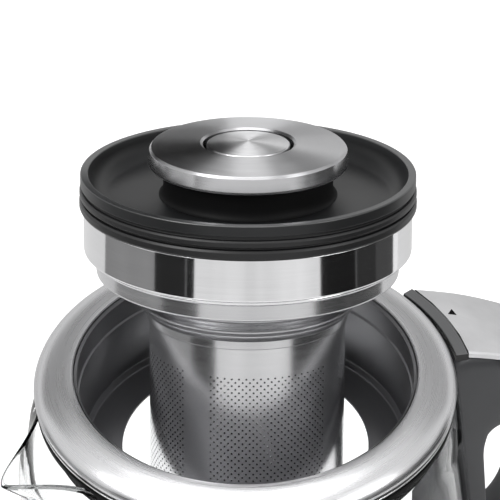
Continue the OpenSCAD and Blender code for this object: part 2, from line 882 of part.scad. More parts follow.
module knob_button() {
    zt = top_z;
    stem_b = lid_z - dish_d - 3.5;
    color([0.8, 0.8, 0.8])
        held() {
            lathe(concat([[0, zt - 2.8], [button_r - 0.5, zt - 2.8], [button_r, zt - 2.3]],
                bez([button_r, zt + 0.2], [button_r - 0.4, zt + 1.1],
                    [button_r - 1.4, zt + 1.2], 4),
                bez([button_r - 5, zt + 1.7], [4, zt + 2.1], [0, zt + 2.1], 6)), 128);
            translate([0, 0, stem_b])
                cylinder(r = 3, h = zt - 2.7 - stem_b, $fn = 48);
        }
}

base_bottom_cover();
base_top_cover();
foot_ring();
base_screws();
base_plug();
cord_gland();
control_fascia();
display_window();
control_board();
key_1();
key_2();
key_3();
key_4();
key_start();
jug_underside();
jug_foot_band();
jug_socket();
heating_plate();
heating_element();
temperature_probe();
glass_jug();
neck_gasket();
collar_carrier();
carrier_trim();
jug_collar();
collar_liner();
handle_shell();
handle_inner();
handle_strip();
handle_plate();
handle_mark();
handle_screws();
basket_rings();
basket_sieve();
lid_seal();
lid_dish();
knob_neck();
knob_disc();
knob_screws();
knob_button();
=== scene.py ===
import math
import bpy
import bmesh
import numpy as np
from mathutils import Matrix, Vector


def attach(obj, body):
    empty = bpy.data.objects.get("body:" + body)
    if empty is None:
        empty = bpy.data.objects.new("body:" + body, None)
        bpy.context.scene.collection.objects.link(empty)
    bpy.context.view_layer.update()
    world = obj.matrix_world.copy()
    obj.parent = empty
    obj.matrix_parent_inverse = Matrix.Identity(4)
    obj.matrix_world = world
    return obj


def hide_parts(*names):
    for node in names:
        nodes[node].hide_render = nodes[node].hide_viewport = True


# Automatic tea maker: a glass jug with a steel collar on a powered base, and the leaf
# basket with its lid, lifted half out of the jug and leaning back. Metres, origin in the
# middle of the rubber foot, handle along +X, spout along -X.

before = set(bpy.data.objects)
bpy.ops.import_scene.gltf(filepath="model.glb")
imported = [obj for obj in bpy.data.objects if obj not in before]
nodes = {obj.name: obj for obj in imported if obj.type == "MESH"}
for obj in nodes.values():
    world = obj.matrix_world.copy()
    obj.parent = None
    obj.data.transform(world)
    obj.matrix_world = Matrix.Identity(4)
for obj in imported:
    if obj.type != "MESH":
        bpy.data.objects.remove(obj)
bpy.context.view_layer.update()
mm = 0.001

# ---------------------------------------------------------------- base, bottom half
# The lower half of the power base is an injection-moulded black tray with a fine
# spark-eroded grain. It carries the rubber foot and the cord gland.


def finish(name, **sockets):
    """A material with one Principled shader; sockets are set by their names with _ for space."""
    mat = bpy.data.materials.new(name)
    mat.use_nodes = True
    shader = mat.node_tree.nodes["Principled BSDF"]
    for key, value in sockets.items():
        shader.inputs[key.replace("_", " ")].default_value = value
    return mat, mat.node_tree, shader


def wire(tree, kind, **values):
    """Adds a node; values that name an input set or link it, the others set a property."""
    made = tree.nodes.new(kind)
    for key, value in values.items():
        plug = key.replace("_", " ")
        if plug in made.inputs:
            if isinstance(value, bpy.types.NodeSocket):
                tree.links.new(value, made.inputs[plug])
            else:
                made.inputs[plug].default_value = value
        else:
            setattr(made, key, value)
    return made


def tint(tree, amount, dark, light):
    """Colour that runs from dark to light as amount, a 0 to 1 output, rises."""
    ramp = wire(tree, "ShaderNodeValToRGB", Fac=amount)
    ramp.color_ramp.elements[0].position = 0.3
    ramp.color_ramp.elements[1].position = 0.7
    ramp.color_ramp.elements[0].color = (*dark, 1)
    ramp.color_ramp.elements[1].color = (*light, 1)
    return ramp.outputs["Color"]


def moulded(name, colour, rough, grain=1500.0, depth=0.02, coat=0.0, shine=0.5):
    """Moulded plastic: colour and roughness drift slowly, and a fine noise gives the grain."""
    mat, tree, shader = finish(name, Coat_Weight=coat, Coat_Roughness=0.12,
                               Specular_IOR_Level=shine)
    place = wire(tree, "ShaderNodeTexCoord").outputs["Object"]
    slow = wire(tree, "ShaderNodeTexNoise", Vector=place, Scale=38.0, Detail=3.0)
    fine = wire(tree, "ShaderNodeTexNoise", Vector=place, Scale=grain, Detail=2.0)
    dark = tuple(c * 0.86 for c in colour)
    light = tuple(min(1.0, c * 1.14) for c in colour)
    tree.links.new(tint(tree, slow.outputs["Fac"], dark, light), shader.inputs["Base Color"])
    worn = wire(tree, "ShaderNodeMapRange", Value=slow.outputs["Fac"])
    worn.inputs["To Min"].default_value = rough - 0.05
    worn.inputs["To Max"].default_value = rough + 0.05
    tree.links.new(worn.outputs["Result"], shader.inputs["Roughness"])
    bump = wire(tree, "ShaderNodeBump", Height=fine.outputs["Fac"], Strength=0.35,
                Distance=depth * mm)
    tree.links.new(bump.outputs["Normal"], shader.inputs["Normal"])
    return mat


def refinish(name, mat):
    """Gives a CAD node the material mat in each of its slots."""
    for place in nodes[name].material_slots:
        place.material = mat


base_black = moulded("base_black", (0.022, 0.022, 0.024), 0.5)
refinish("base_bottom_cover", base_black)

# The foot is one rubber moulding pressed into the tray: ring, ribs and middle disc.
foot_rubber = moulded("foot_rubber", (0.016, 0.016, 0.016), 0.82, 900.0, 0.05)
refinish("foot_ring", foot_rubber)

# The gland is a soft rubber sleeve that the lead would pass through.
refinish("cord_gland", moulded("gland_rubber", (0.018, 0.018, 0.018), 0.75, 900.0, 0.04))

# ---------------------------------------------------------------- base, top half
# The upper half has the flat top that the jug stands on and the sloping console.
# It is screwed down over the plug boss and the circuit board.
refinish("base_top_cover", base_black)
refinish("base_plug", moulded("plug_black", (0.02, 0.02, 0.021), 0.4))


def plated(name, colour, rough):
    """Plated or cast metal read on Object coordinates: slow stains and a faint grain."""
    mat, tree, shader = finish(name, Metallic=1.0)
    place = wire(tree, "ShaderNodeTexCoord").outputs["Object"]
    stain = wire(tree, "ShaderNodeTexNoise", Vector=place, Scale=60.0, Detail=4.0)
    fine = wire(tree, "ShaderNodeTexNoise", Vector=place, Scale=1800.0, Detail=2.0)
    dark = tuple(c * 0.84 for c in colour)
    tree.links.new(tint(tree, stain.outputs["Fac"], dark, colour), shader.inputs["Base Color"])
    worn = wire(tree, "ShaderNodeMapRange", Value=stain.outputs["Fac"])
    worn.inputs["To Min"].default_value = rough - 0.06
    worn.inputs["To Max"].default_value = rough + 0.08
    tree.links.new(worn.outputs["Result"], shader.inputs["Roughness"])
    bump = wire(tree, "ShaderNodeBump", Height=fine.outputs["Fac"], Strength=0.2,
                Distance=0.01 * mm)
    tree.links.new(bump.outputs["Normal"], shader.inputs["Normal"])
    return mat


screw_zinc = plated("screw_zinc", (0.62, 0.62, 0.64), 0.35)
refinish("base_screws", screw_zinc)

# The circuit board is green glass-fibre laminate with its switches on top.
refinish("control_board", moulded("board_green", (0.02, 0.13, 0.06), 0.45, 700.0, 0.02))

# The fascia is a gloss black plate glued in its recess, and the window is smoked clear.
refinish("control_fascia", moulded("fascia_gloss", (0.012, 0.012, 0.013), 0.14, 300.0, 0.002, 0.6))
refinish("display_window", moulded("window_smoke", (0.05, 0.065, 0.075), 0.08, 300.0, 0.002, 1.0))

# ---------------------------------------------------------------- keys
# Five turned steel caps stand through the fascia, each with a slightly dished top.


def outline(corners, steps=4):
    """A profile from corners (r, z, fillet) in mm. Each corner with a fillet becomes an arc
    that touches both of its sides, and points 0.2 mm beyond it hold the sides flat."""
    line = []
    last = len(corners) - 1
    for i, corner in enumerate(corners):
        here = np.array(corner[:2], float)
        fillet = corner[2] if len(corner) > 2 else 0.0
        if fillet <= 0 or i in (0, last):
            line.append(here)
            continue
        back = np.array(corners[i - 1][:2], float) - here
        ahead = np.array(corners[i + 1][:2], float) - here
        reach_b, reach_a = np.linalg.norm(back), np.linalg.norm(ahead)
        back, ahead = back / reach_b, ahead / reach_a
        half = math.acos(float(np.clip(back @ ahead, -1, 1))) / 2
        cut = min(fillet / math.tan(half), 0.48 * reach_b, 0.48 * reach_a)
        radius = cut * math.tan(half)
        middle = here + (back + ahead) / np.linalg.norm(back + ahead) * radius / math.sin(half)
        start, end = here + back * cut, here + ahead * cut
        if reach_b - cut > 0.5:
            line.append(start + back * 0.2)
        a0, a1 = start - middle, end - middle
        turn = math.pi - 2 * half
        for t in np.linspace(0, 1, steps + 1):
            mixed = (math.sin((1 - t) * turn) * a0 + math.sin(t * turn) * a1) / math.sin(turn)
            line.append(middle + mixed)
        if reach_a - cut > 0.5:
            line.append(end + ahead * 0.2)
    return np.array(line)


def skin(name, points, loop_v, turn, smooth=40.0):
    """A mesh through points[v, u, xyz] in mm. Neighbouring points make quads, the last column
    joins the first, with loop_v the last row too, and equal points are merged. The attribute
    grain is turn, and the UV map runs u once round and v by length."""
    rows, cols = points.shape[:2]
    ring = np.arange(rows * cols).reshape(rows, cols)
    ring = np.hstack([ring, ring[:, :1]])
    if loop_v:
        ring = np.vstack([ring, ring[:1]])
    quads = np.stack([ring[:-1, :-1], ring[:-1, 1:], ring[1:, 1:], ring[1:, :-1]], -1).reshape(-1, 4)
    mesh = bpy.data.meshes.new(name)
    flat = points.reshape(-1, 3) * mm
    mesh.from_pydata(flat.tolist(), [], quads.tolist())
    grain = mesh.attributes.new("grain", "FLOAT_VECTOR", "POINT")
    grain.data.foreach_set("vector", turn.reshape(-1, 3).astype(np.float32).ravel())
    over = np.arange(ring.shape[1]) / (ring.shape[1] - 1)
    along = np.concatenate([[0], np.cumsum(np.linalg.norm(np.diff(points[:, 0], axis=0), axis=1))])
    if loop_v:
        along = np.append(along, along[-1] + 1)
    uu, vv = np.meshgrid(over, along * 0.01)
    place = np.stack([uu, vv], -1)
    corner = np.stack([place[:-1, :-1], place[:-1, 1:], place[1:, 1:], place[1:, :-1]], 2)
    mesh.uv_layers.new(name="round").data.foreach_set("uv", corner.astype(np.float32).ravel())
    work = bmesh.new()
    work.from_mesh(mesh)
    bmesh.ops.remove_doubles(work, verts=work.verts, dist=2e-7)
    bmesh.ops.dissolve_degenerate(work, dist=1e-8, edges=work.edges)
    bmesh.ops.recalc_face_normals(work, faces=work.faces)
    work.to_mesh(mesh)
    work.free()
    mesh.shade_smooth()
    mesh.set_sharp_from_angle(angle=math.radians(smooth))
    piece = bpy.data.objects.new(name, mesh)
    bpy.context.scene.collection.objects.link(piece)
    return piece


def turned(name, line, sides=192, place=None, closed=True):
    """A turned part: point (r, z) of line goes to (r cos a, r sin a, z) for a round the axis.
    place, if given, moves the points. grain is (cos a, sin a, length along the line)."""
    a = np.linspace(0, 2 * math.pi, sides, endpoint=False)
    r, z = line[:, :1], line[:, 1:]
    points = np.stack([r * np.cos(a), r * np.sin(a), z + 0 * a], -1)
    ends = line[[0]] if closed else line[:0]
    step = np.linalg.norm(np.diff(np.vstack([line, ends]), axis=0), axis=1)
    along = np.concatenate([[0], np.cumsum(step)])[:len(line), None] + 0 * a
    turn = np.stack([np.cos(a) + 0 * along, np.sin(a) + 0 * along, along], -1)
    if place is not None:
        points = place(points)
    return skin(name, points, closed, turn)


def spun(name, colour, rough, lines=6.0, anisotropic=0.6, depth=0.004, contrast=0.14):
    """Metal brushed round its axis or along its length: a noise squeezed to thin lines across
    the grain sets colour, roughness and a shallow bump, and the shine stretches with it."""
    mat, tree, shader = finish(name, Metallic=1.0, Anisotropic=anisotropic, Anisotropic_Rotation=0.25)
    grain = wire(tree, "ShaderNodeAttribute", attribute_name="grain").outputs["Vector"]
    thin = wire(tree, "ShaderNodeVectorMath", operation="MULTIPLY")
    tree.links.new(grain, thin.inputs[0])
    thin.inputs[1].default_value = (1.6, 1.6, lines)
    wide = wire(tree, "ShaderNodeVectorMath", operation="MULTIPLY")
    tree.links.new(grain, wide.inputs[0])
    wide.inputs[1].default_value = (2.5, 2.5, lines * 0.16)
    scratch = wire(tree, "ShaderNodeTexNoise", Vector=thin.outputs["Vector"], Scale=1.0, Detail=3.0)
    drift = wire(tree, "ShaderNodeTexNoise", Vector=wide.outputs["Vector"], Scale=1.0, Detail=2.0)
    both = wire(tree, "ShaderNodeMath", operation="MULTIPLY_ADD")
    tree.links.new(drift.outputs["Fac"], both.inputs[0])
    both.inputs[1].default_value = 0.4
    half = wire(tree, "ShaderNodeMath", operation="MULTIPLY")
    tree.links.new(scratch.outputs["Fac"], half.inputs[0])
    half.inputs[1].default_value = 0.6
    tree.links.new(half.outputs["Value"], both.inputs[2])
    dark = tuple(c * (1 - contrast) for c in colour)
    light = tuple(min(1.0, c * (1 + contrast * 0.5)) for c in colour)
    tree.links.new(tint(tree, both.outputs["Value"], dark, light), shader.inputs["Base Color"])
    worn = wire(tree, "ShaderNodeMapRange", Value=both.outputs["Value"])
    worn.inputs["From Min"].default_value = 0.3
    worn.inputs["From Max"].default_value = 0.7
    worn.inputs["To Min"].default_value = rough * 0.88
    worn.inputs["To Max"].default_value = rough * 1.14
    tree.links.new(worn.outputs["Result"], shader.inputs["Roughness"])
    bump = wire(tree, "ShaderNodeBump", Height=scratch.outputs["Fac"], Strength=0.5,
                Distance=depth * mm)
    tree.links.new(bump.outputs["Normal"], shader.inputs["Normal"])
    lie = wire(tree, "ShaderNodeTangent", direction_type="UV_MAP", uv_map="round")
    tree.links.new(lie.outputs["Tangent"], shader.inputs["Tangent"])
    return mat


def put(piece, body, mat, slot, *replaced):
    """Gives a piece its material, lets it ride on a body and stand for CAD nodes; slot is not used."""
    piece.data.materials.append(mat)
    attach(piece, body)
    if replaced:
        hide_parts(*replaced)
    return piece


def second_finish(piece, mat, chosen):
    """Gives the faces of a piece whose number chosen marks as 1 a second material."""
    piece.data.materials.append(mat)
    piece.data.polygons.foreach_set("material_index", chosen.astype(np.int32))


def face_values(piece, kind):
    """The centres or the normals of all faces of a piece, one row for each."""
    values = np.empty(len(piece.data.polygons) * 3)
    piece.data.polygons.foreach_get(kind, values)
    return values.reshape(-1, 3)


front_y, front_z, back_y, back_z = -132, 17, -90, 30
slope = math.atan((back_z - front_z) / (back_y - front_y))
slope_middle = np.array([0.0, (front_y + back_y) / 2, (front_z + back_z) / 2])
key_steel = spun("key_steel", (0.66, 0.66, 0.67), 0.24, 9.0, 0.6)


def on_slope(x, y):
    """Moves points from the console slope's own plane, at x and y on it, into the frame."""
    def place(p):
        px, py, pz = p[..., 0] + x, p[..., 1] + y, p[..., 2]
        c, s = math.cos(slope), math.sin(slope)
        return np.stack([px, py * c - pz * s, py * s + pz * c], -1) + slope_middle
    return place


def key_cap(name, x, y, r):
    """A key: flange, straight side, rounded edge, and a top dished as a shallow sphere."""
    dish = [(r * t, 1.18 - 0.22 * (1 - t * t) - 0.02) for t in (0.9, 0.7, 0.5, 0.3, 0.15, 0.0)]
    line = outline([(0, -4.6), (r + 1.3, -4.6, 0.1), (r + 1.3, -3.4, 0.1), (r, -3.4, 0.1),
                    (r, 1.18, 0.35), (r * 0.95, 1.16)] + dish)
    put(turned(name, line, 64, on_slope(x, y)), name[4:], key_steel, "key", name[4:])


for count in range(4):
    key_cap("cap_key_%d" % (count + 1), -41 + 15 * count, -5, 5.4)
key_cap("cap_key_start", 37, 0, 7.4)

# ---------------------------------------------------------------- jug foot
# A black underside tray with the plug socket closes the jug. A brushed steel band
# covers it outside, and the heating plate with its element lies on the band's ledge.
jug_r, foot_z = 91.0, 30.3
refinish("jug_underside", moulded("underside_black", (0.02, 0.02, 0.021), 0.55))
refinish("jug_socket", moulded("socket_black", (0.018, 0.018, 0.019), 0.4))
refinish("heating_element", plated("element_grey", (0.42, 0.42, 0.43), 0.5))
refinish("temperature_probe", plated("probe_steel", (0.66, 0.66, 0.66), 0.25))
band_line = outline([
    (jug_r - 4, foot_z + 1.0), (jug_r - 1.5, foot_z + 1.0, 0.6), (jug_r, foot_z + 3, 0.8),
    (jug_r, 57, 0.8), (jug_r - 1.4, 58, 0.3), (jug_r - 1.4, 53.7), (jug_r - 7, 53.7),
    (jug_r - 7, 51.4), (jug_r - 2.4, 51.4), (jug_r - 2.4, foot_z + 9.3),
    (jug_r - 4, foot_z + 9.3)])
band_steel = spun("band_steel", (0.6, 0.6, 0.61), 0.3, 5.0, 0.6)
put(turned("foot_band", band_line, 224), "jug", band_steel, "band_steel", "jug_foot_band")
plate_line = outline([(5.2, 49), (83.6, 49, 0.4), (83.6, 52.4, 0.8), (60, 52.4), (30, 52.4),
                      (5.2, 52.4)])
plate_steel = spun("plate_steel", (0.62, 0.62, 0.63), 0.26, 3.0, 0.7)
put(turned("hot_plate", plate_line, 192), "jug", plate_steel, "plate_steel", "heating_plate")

# ---------------------------------------------------------------- glass jug
# Blown borosilicate glass, 3 mm thick: a shoulder under the collar, a belly that widens
# to the foot, and a V spout pressed out of the wall opposite the handle. The pressing
# leaves the far half of the spout thinner.


def curve(a, b, c, count):
    """Points on the quadratic curve (1-t)^2 a + 2 t (1-t) b + t^2 c."""
    t = np.linspace(0, 1, count)[:, None]
    a, b, c = (np.array(p, float) for p in (a, b, c))
    return (1 - t) ** 2 * a + 2 * t * (1 - t) * b + t * t * c


rim_z = 200.0
glass_top = rim_z - 14.4
glass_t, spout_thinner = 3.0, 1.7
spout_reach, spout_deep, spout_half = 22.0, 30.0, math.radians(26.7)
wall = np.vstack([
    curve((76.4, glass_top), (79.0, glass_top - 4), (80.2, glass_top - 10), 9)[:-1],
    curve((80.2, glass_top - 10), (85.4, glass_top - 48), (89.4, glass_top - 90), 22)[:-1],
    curve((89.4, glass_top - 90), (90.7, 68), (87.6, 54), 12)])


def pressed(r, z, a):
    """Radius of the wall with its spout. The reach falls from the tip to nothing over 30 mm
    of height as t^1.6, and to the sides as a V with a rounded point, (1 - |side|)^3."""
    side = np.abs(a - math.pi) / spout_half
    vee = np.clip(1.1 - np.sqrt(side ** 2 + 0.01), 0, 1) ** 3
    high = np.clip(1 - (glass_top - z) / spout_deep, 0, 1) ** 1.6
    return r + spout_reach * vee * high


a = np.concatenate([np.linspace(0, math.radians(150), 110, endpoint=False),
                    np.linspace(math.radians(150), math.radians(210), 140, endpoint=False),
                    np.linspace(math.radians(210), 2 * math.pi, 110, endpoint=False)])
outer_r = pressed(wall[:, :1], wall[:, 1:], a)
near_spout = np.clip(1.5 - np.abs(a - math.pi) / spout_half, 0, 1)
far_half = np.clip(0.5 - (a - math.pi) / 0.12, 0.15, 1)
thinned = np.clip(1 - (glass_top - wall[:, 1:]) / spout_deep, 0, 1) ** 0.8
thinned = spout_thinner * near_spout * far_half * thinned
inner_r = pressed(wall[:, :1] - glass_t, wall[:, 1:], a) + thinned
lip = np.linspace(0, math.pi, 7)[1:-1, None]
lip_r = (outer_r[:1] + inner_r[:1]) / 2 + np.cos(lip) * (outer_r[:1] - inner_r[:1]) / 2
glass_r = np.vstack([outer_r[::-1], lip_r, inner_r, 78 + 0 * a[None]])
glass_z = np.concatenate([wall[::-1, 1], glass_top + 0 * lip[:, 0],
                          np.maximum(wall[:, 1], 57.0), [54.0]])[:, None] + 0 * a
lip_rows = slice(len(wall), len(wall) + len(lip))
glass_z[lip_rows] += np.sin(lip) * (outer_r[:1] - inner_r[:1]) / 2


def edge_rise(angle):
    """Height of the glass edge over glass_top at an angle from the spout: 10.7 s - 13.9 s^2 - 1.5,
    where s runs from 0 at the spout's side to 1 at its tip. The edge rises, then dips."""
    s = np.clip(1 - np.abs(angle) / spout_half, 0, 1)
    return 10.7 * s - 13.9 * s ** 2 - 1.5


rise = edge_rise(a - math.pi)
glass_z += np.clip((glass_z - (glass_top - 12)) / 12, 0, 1) * rise
glass_z[:1], glass_z[-1:] = 54.0, 54.0
glass_pts = np.stack([glass_r * np.cos(a), glass_r * np.sin(a), glass_z], -1)
glass_turn = np.stack([np.cos(a) + 0 * glass_r, np.sin(a) + 0 * glass_r, glass_z], -1)
glass_piece = skin("glass_body", glass_pts, True, glass_turn, 50.0)


def clear_glass(name, colour, bending, shine):
    """Clear glass: full transmission, with a very slight slow waviness and colour drift."""
    mat, tree, shader = finish(name, Transmission_Weight=1.0, IOR=bending,
                               Specular_IOR_Level=shine)
    place = wire(tree, "ShaderNodeTexCoord").outputs["Object"]
    slow = wire(tree, "ShaderNodeTexNoise", Vector=place, Scale=24.0, Detail=2.0)
    light = tuple(min(1.0, c * 1.015) for c in colour)
    tree.links.new(tint(tree, slow.outputs["Fac"], colour, light), shader.inputs["Base Color"])
    smear = wire(tree, "ShaderNodeMapRange", Value=slow.outputs["Fac"])
    smear.inputs["To Min"].default_value = 0.0
    smear.inputs["To Max"].default_value = 0.015
    tree.links.new(smear.outputs["Result"], shader.inputs["Roughness"])
    bump = wire(tree, "ShaderNodeBump", Height=slow.outputs["Fac"], Strength=0.3,
                Distance=0.25 * mm)
    tree.links.new(bump.outputs["Normal"], shader.inputs["Normal"])
    return mat


put(glass_piece, "jug", clear_glass("jug_glass", (0.945, 0.95, 0.95), 1.12, 0.1), "glass", "glass_jug")

# The near edge of the spout gets a dark glass colour: painted shade for the dark refraction through its
# thick rounded lip.
edge_place = face_values(glass_piece, "center") / mm
edge_angle = np.arctan2(edge_place[:, 1], -edge_place[:, 0])
on_edge = edge_place[:, 2] > glass_top + edge_rise(edge_angle) - 0.4
near_edge = (np.abs(edge_angle) < 0.96 * spout_half) & (edge_place[:, 1] < -1.0)
second_finish(glass_piece, clear_glass("spout_edge_painted_shade", (0.12, 0.125, 0.125), 1.3, 0.3), on_edge & near_edge)

# ---------------------------------------------------------------- gasket, carrier and trim
# A black silicone gasket, with a skirt down inside the neck, seals the glass to a gloss
# black carrier ring, and a thin bright trim ring is snapped round it.
carrier_b = rim_z - 12.0
collar_b = rim_z - 8.6
gasket_line = outline([(70.4, glass_top - 8.6, 0.3), (73.0, glass_top - 8.6, 0.5),
                       (73.0, glass_top), (77.2, glass_top, 0.7), (77.2, carrier_b, 0.5),
                       (70.4, carrier_b)])
put(turned("neck_seal", gasket_line, 224), "jug",
    moulded("gasket_black", (0.004, 0.004, 0.004), 0.6, 900.0, 0.03, 0.0, 0.12), "gasket", "neck_gasket")
carrier_line = outline([
    (64.8, carrier_b), (76.6, carrier_b, 0.2), (76.6, collar_b - 1.0), (77.3, collar_b - 1.0, 0.2),
    (77.3, collar_b - 0.2), (74.5, collar_b - 0.2), (74.5, rim_z - 6.6), (71, rim_z - 4.6),
    (66.4, rim_z - 3), (64.8, rim_z - 4)])
put(turned("collar_holder", carrier_line, 224), "jug",
    moulded("carrier_gloss", (0.006, 0.006, 0.0065), 0.28, 1200.0, 0.006, 0.0, 0.3), "carrier",
    "collar_carrier")
trim_line = outline([(76.65, collar_b - 1.6), (77.5, collar_b - 1.6, 0.2),
                     (77.5, collar_b - 1.1, 0.2), (76.65, collar_b - 1.1)])
put(turned("trim_ring", trim_line, 224), "jug",
    spun("trim_bright", (0.78, 0.78, 0.79), 0.12, 4.0, 0.3), "trim_steel", "carrier_trim")

# ---------------------------------------------------------------- collar
# The collar is a deep-drawn stainless ring, crowned on top, satin brushed round its
# circumference and rolled over into a polished inner lip.
collar_line = np.vstack([
    [[63.2, rim_z - 3.0]],
    curve((63.2, rim_z - 1.7), (63.2, rim_z - 0.14), (63.9, rim_z - 0.06), 7),
    curve((63.9, rim_z - 0.06), (65.4, rim_z - 0.04), (66.6, rim_z - 0.16), 6)[1:],
    curve((66.6, rim_z - 0.16), (76.6, rim_z - 1.2), (78, rim_z - 6.6), 26)[1:],
    curve((78, rim_z - 6.6), (78.0, rim_z - 8.4), (76.9, rim_z - 8.55), 6)[1:],
    [[76.4, rim_z - 8.5]],
    curve((76.5, rim_z - 6.6), (75.4, rim_z - 1.8), (64.9, rim_z - 1.6), 14),
    [[64.4, rim_z - 3.0]]])
collar_satin = spun("collar_satin", (0.6, 0.6, 0.61), 0.28, 2.6, 0.6, 0.0006, 0.05)
put(turned("collar_ring", collar_line, 256), "jug", collar_satin, "collar_steel", "jug_collar")

# ---------------------------------------------------------------- liner
# Inside the collar sits a pressed liner: straight upper wall, a small ledge, a slightly
# tapered lower wall and a flat floor with the large hole that the sieve hangs through.
floor_z = rim_z - 36.0
ledge_z = rim_z - 10.6
liner_line = outline([
    (62, rim_z - 1.6, 0.3), (62, ledge_z, 0.25), (61.3, ledge_z - 0.5, 0.25),
    (60.3, floor_z + 2, 0.8), (58.7, floor_z, 0.8), (45.9, floor_z, 0.35),
    (45.9, floor_z - 0.8, 0.3), (59.3, floor_z - 0.8, 0.5), (61.1, floor_z + 1.5, 0.5),
    (62.3, ledge_z - 1, 0.2), (62.8, ledge_z, 0.2), (62.8, rim_z - 3.7), (64.4, rim_z - 3.7),
    (64.4, rim_z - 3.05), (62.8, rim_z - 3.05), (62.9, rim_z - 0.7, 0.1)])
# The liner's steel colour, 0.3, is darker than the collar's: painted shade for the dark it sits in inside
# the collar.
liner_steel = spun("liner_steel", (0.3, 0.3, 0.31), 0.33, 1.6, 0.5, 0.0002, 0.04)
put(turned("liner_cup", liner_line, 224), "jug", liner_steel, "liner_steel", "collar_liner")

# ---------------------------------------------------------------- handle
# A dark grey soft-touch handle: a column against the glass, an arm under the top plate
# and a grip, moulded in one piece round its opening.
strip_r = 80.0
grip_r = 144.0
arm_x, arm_z = strip_r + 5.15, rim_z - 6.95
arm_top = np.vstack([
    curve((arm_x, arm_z), (arm_x + 18, arm_z - 7.7), (grip_r - 22, arm_z - 19.1), 20),
    curve((grip_r - 22, arm_z - 19.1), (grip_r - 7, arm_z - 28.2), (grip_r, rim_z - 66), 24)[1:]])
plate_t = 2.2


def resample(line, count):
    """count points at equal steps of length along a line of points."""
    gone = np.concatenate([[0], np.cumsum(np.linalg.norm(np.diff(line, axis=0), axis=1))])
    want = np.linspace(0, gone[-1], count)
    return np.stack([np.interp(want, gone, line[:, k]) for k in range(line.shape[1])], -1)


def inset(line, depth):
    """The line moved inwards, square to itself, by depth."""
    way = np.gradient(line, axis=0)
    way = way / np.linalg.norm(way, axis=1)[:, None]
    return line + depth * np.stack([way[:, 1], -way[:, 0]], -1)


wall_x = wall[(wall[:, 1] > 59) & (wall[:, 1] < glass_top - 3)][::-1] + [0.35, 0]
outside = np.vstack([
    inset(arm_top, plate_t)[1:],
    curve((grip_r, rim_z - 67), (grip_r + 2.9, rim_z - 116), (grip_r - 22, rim_z - 138), 30),
    curve((grip_r - 22, rim_z - 138), (grip_r - 27, rim_z - 141), (104, rim_z - 141), 8)[1:],
    [[94, rim_z - 141]],
    wall_x[0:1], wall_x,
    [[78.8, glass_top - 2.5], [78.4, glass_top + 2], [78.4, rim_z - 10.4], [79.4, rim_z - 10.05],
     [arm_x, rim_z - 10.05]]])
inside = np.vstack([
    curve((strip_r + 12.6, rim_z - 66), (strip_r + 11, rim_z - 52), (strip_r + 20.5, rim_z - 51), 12),
    curve((grip_r - 36, rim_z - 51.2), (grip_r - 23, rim_z - 54), (grip_r - 22, rim_z - 74), 12),
    curve((grip_r - 20, rim_z - 100), (grip_r - 21, rim_z - 120), (grip_r - 34, rim_z - 124), 12),
    curve((strip_r + 20, rim_z - 124), (strip_r + 16, rim_z - 120), (strip_r + 15.5, rim_z - 100), 8)])


def round_the_opening(line, centre, count):
    """The closed line read at equal angles about centre: the farthest crossing of each ray."""
    loop = resample(np.vstack([line, line[:1]]), 2400)
    off = loop - centre
    angle = np.unwrap(np.arctan2(off[:, 1], off[:, 0]))
    if angle[-1] < angle[0]:
        angle, loop = angle[::-1], loop[::-1]
    want = np.linspace(angle[0], angle[0] + 2 * math.pi, count, endpoint=False)
    order = np.argsort(angle, kind="stable")
    got = np.stack([np.interp(want, angle[order], loop[order, k]) for k in (0, 1)], -1)
    start = np.argmin(np.abs((want % (2 * math.pi))))
    return np.roll(got, -start, axis=0)


centre = np.array([107.0, rim_z - 86.0])
loops = 240
out_line = round_the_opening(outside, centre, loops)
in_line = round_the_opening(inside, centre, loops)


def half_width(x):
    """Half the handle's width: 21.3 mm to x = 100, then easing to 17 mm at the grip."""
    t = np.clip((x - 100) / (grip_r - 100), 0, 1)
    return 21.3 - 4.3 * (t * t * (3 - 2 * t))


def framed(loop_in, loop_out, bend, count=48):
    """Skin of a bar that runs round the opening. Its section is a rounded box between the
    inner and the outer line, |s|^n + |y/w|^n = 1, so its edges are soft and its faces flat."""
    t = np.linspace(0, 2 * math.pi, count, endpoint=False)
    power = 2.0 / bend
    s = np.sign(np.cos(t)) * np.abs(np.cos(t)) ** power
    y = np.sign(np.sin(t)) * np.abs(np.sin(t)) ** power
    mid, arm = (loop_in + loop_out) / 2, (loop_out - loop_in) / 2
    flat = mid[None] + s[:, None, None] * arm[None]
    x, z = flat[..., 0], flat[..., 1]
    across = y[:, None] * half_width(x)
    return x, across, z, s


x, across, z, s = framed(in_line, out_line, 9.0)
on_glass = np.clip((96 - out_line[:, 0]) / 6, 0, 1)[None] * ((s + 1) / 2)[:, None]
glass_rad = np.interp(z, wall[::-1, 1], wall[::-1, 0], right=78.0) + 0.35
x = x - on_glass * (glass_rad - np.sqrt(glass_rad ** 2 - across ** 2))
far_side = np.clip((out_line[:, 0] - 84) / 6, 0, 1)[None] * ((s + 1) / 2)[:, None] * (on_glass == 0)
x = x - far_side * (x - np.sqrt(x ** 2 - across ** 2))
handle_pts = np.stack([x, across, z], -1)
handle_turn = np.stack([x / 10, across / 10, z], -1)
handle_grey = moulded("handle_grey", (0.05, 0.051, 0.055), 0.46, 1600.0, 0.015)
put(skin("handle_body", handle_pts, True, handle_turn, 60.0), "jug", handle_grey,
    "handle_plastic", "handle_shell")

# Hidden inside the arm: the bracket and its screw.
refinish("handle_inner", moulded("bracket_black", (0.05, 0.05, 0.05), 0.55))
refinish("handle_screws", screw_zinc)

# The curved strip is a gloss black moulding let in between the collar and the plate.


